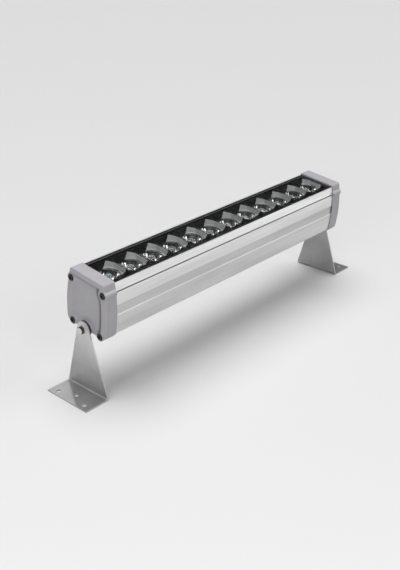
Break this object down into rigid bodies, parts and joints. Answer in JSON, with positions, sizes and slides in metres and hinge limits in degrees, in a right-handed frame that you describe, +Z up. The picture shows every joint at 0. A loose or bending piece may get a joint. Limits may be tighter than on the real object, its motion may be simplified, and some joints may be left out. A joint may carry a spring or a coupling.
{
  "type": "linear wall washer light",
  "caption": "Linear wall washer light: lensed wells under glass in an extruded barrel housing with cast end caps, clamped at pivot bolts in two bent sheet foot brackets.",
  "frame": {"origin": "on the plane that the feet stand on, midway between the two feet, under the pivot axis", "axes": "+X along the light towards the end with the cable gland, +Z up, and -Y the side that the housing leans to"},
  "size_m": [0.584, 0.0837, 0.1726],
  "materials": {
    "housing_aluminium": "satin",
    "cap_paint": "matte",
    "cover_glass": "polished",
    "black_plate": "satin",
    "reflector_grey": "satin",
    "lens_clear": "polished",
    "holder_black": "matte",
    "emitter": "gloss",
    "board_white": "matte",
    "driver_shell": "satin",
    "thermal_pad": "matte",
    "pale_silicone": "matte",
    "black_rubber": "matte",
    "screw_black": "satin",
    "fastener_steel": "gloss",
    "bolt_steel": "gloss",
    "bracket_steel": "satin",
    "gland_plastic": "satin"
  },
  "bodies": {
    "lamp": {"housing_extrusion": "housing_aluminium", "glass_cover": "cover_glass", "glass_gasket": "black_rubber", "front_plate": "black_plate", "reflector_cups": "reflector_grey", "lenses": "lens_clear", "lens_holders": "holder_black", "led_emitters": "emitter", "led_board": "board_white", "board_screws": "fastener_steel", "driver_case": "driver_shell", "driver_pad": "thermal_pad", "end_cap_left": "cap_paint", "end_cap_right": "cap_paint", "end_gasket_left": "pale_silicone", "end_gasket_right": "pale_silicone", "cap_screws_left": "screw_black", "cap_screws_right": "screw_black", "rubber_washer_left": "black_rubber", "rubber_washer_right": "black_rubber", "pivot_washer_left": "fastener_steel", "pivot_washer_right": "fastener_steel", "pivot_bolt_left": "bolt_steel", "pivot_bolt_right": "bolt_steel", "gland_body": "gland_plastic", "gland_nut": "gland_plastic", "gland_seal": "black_rubber", "gland_locknut": "gland_plastic"},
    "left_bracket": {"bracket_left": "bracket_steel"},
    "right_bracket": {"bracket_right": "bracket_steel"}
  },
  "joints": [
    {"name": "left_bracket_tilt", "type": "hinge", "parent": "lamp", "child": "left_bracket", "pos_m": [-0.2546, 0, 0.0924], "axis": [1, 0, 0], "range_deg": [-82.8, 97.2]},
    {"name": "right_bracket_tilt", "type": "hinge", "parent": "lamp", "child": "right_bracket", "pos_m": [0.2546, 0, 0.0924], "axis": [1, 0, 0], "range_deg": [-82.8, 97.2]}
  ]
}
